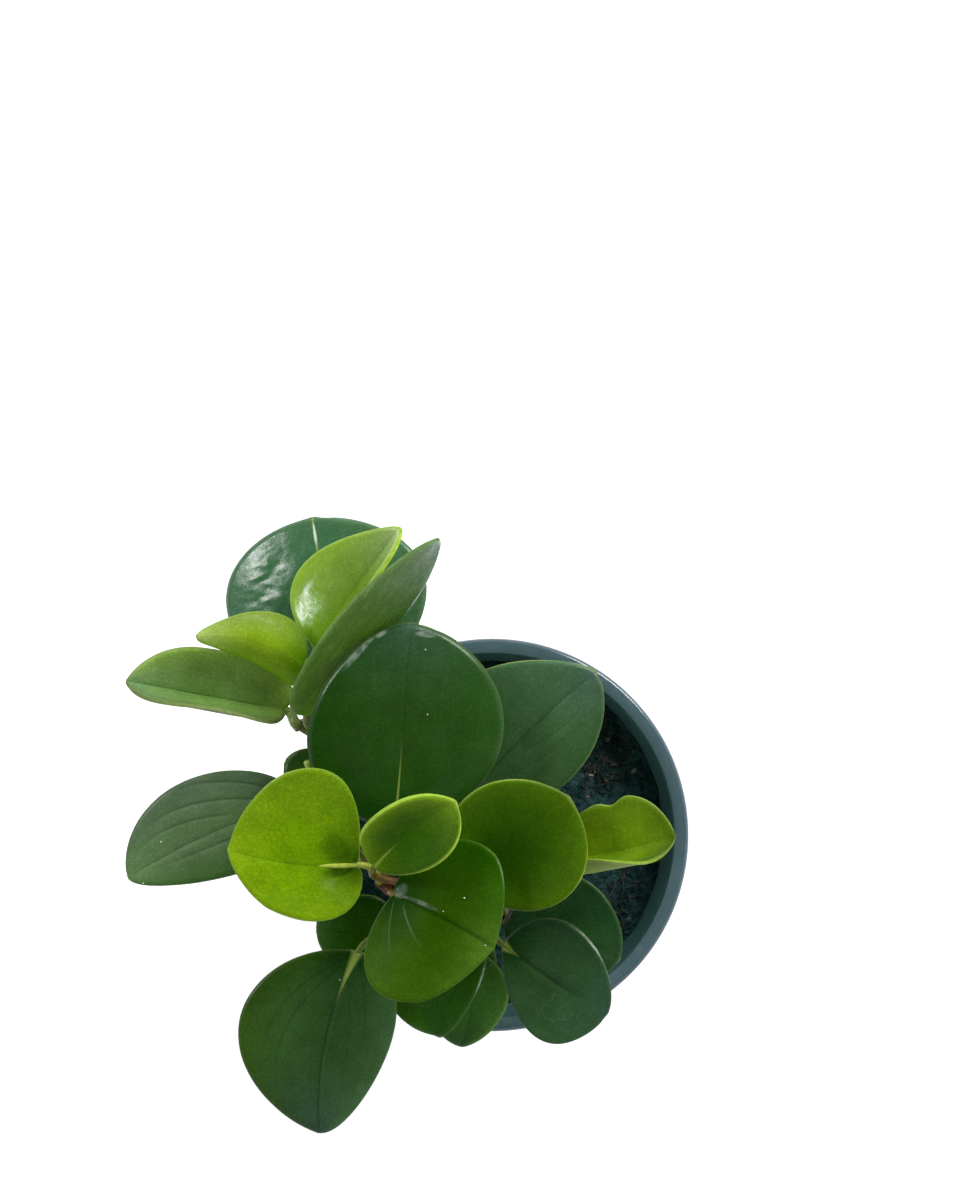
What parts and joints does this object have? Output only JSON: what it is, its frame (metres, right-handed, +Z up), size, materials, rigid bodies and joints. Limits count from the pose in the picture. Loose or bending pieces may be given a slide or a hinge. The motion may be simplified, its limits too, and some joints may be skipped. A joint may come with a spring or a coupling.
{
  "type": "potted plant",
  "caption": "Small houseplant with leaning brown stems and thick round glossy leaves, in a round tapered plastic pot filled with soil.",
  "frame": {"origin": "middle of the pot's flat foot, on the surface it stands on", "axes": "+Z up; the picture looks straight down along -Z, with its right along +X and its top along +Y"},
  "size_m": [0.1952, 0.2112, 0.2188],
  "materials": {
    "pot_plastic": "dull blue-grey plastic",
    "soil": "dark moist peat with bark pieces",
    "stem_bark": "brown woody skin",
    "leaf_dark": "thick dark green leaf, satin",
    "leaf_olive": "olive green leaf, satin",
    "leaf_grey_green": "greyish green leaf, dull",
    "leaf_fresh": "fresh green leaf, satin",
    "leaf_lime": "young yellow-green leaf, satin"
  },
  "bodies": {
    "root": {"pot": "pot_plastic", "soil": "soil", "stem_left": "stem_bark", "stem_back": "stem_bark", "stem_right": "stem_bark", "stem_front": "stem_bark", "leaf_large_middle": "leaf_dark", "leaf_lime_round": "leaf_lime", "leaf_small_cupped": "leaf_olive", "leaf_broad_front": "leaf_olive", "leaf_left_veined": "leaf_grey_green", "leaf_long_front": "leaf_dark", "leaf_shaded_left": "leaf_dark", "leaf_front_middle": "leaf_dark", "leaf_back_round": "leaf_dark", "leaf_young_folded": "leaf_lime", "leaf_upright": "leaf_fresh", "leaf_young_arched": "leaf_lime", "leaf_boat_left": "leaf_fresh", "leaf_left_hidden": "leaf_dark", "leaf_back_low": "leaf_dark", "leaf_right_crown": "leaf_dark", "leaf_olive_round": "leaf_olive", "leaf_over_rim": "leaf_fresh", "leaf_crown_low": "leaf_dark", "leaf_right_front": "leaf_dark", "leaf_right_under": "leaf_dark", "leaf_front_low": "leaf_dark", "leaf_front_lowest": "leaf_dark"}
  },
  "joints": []
}
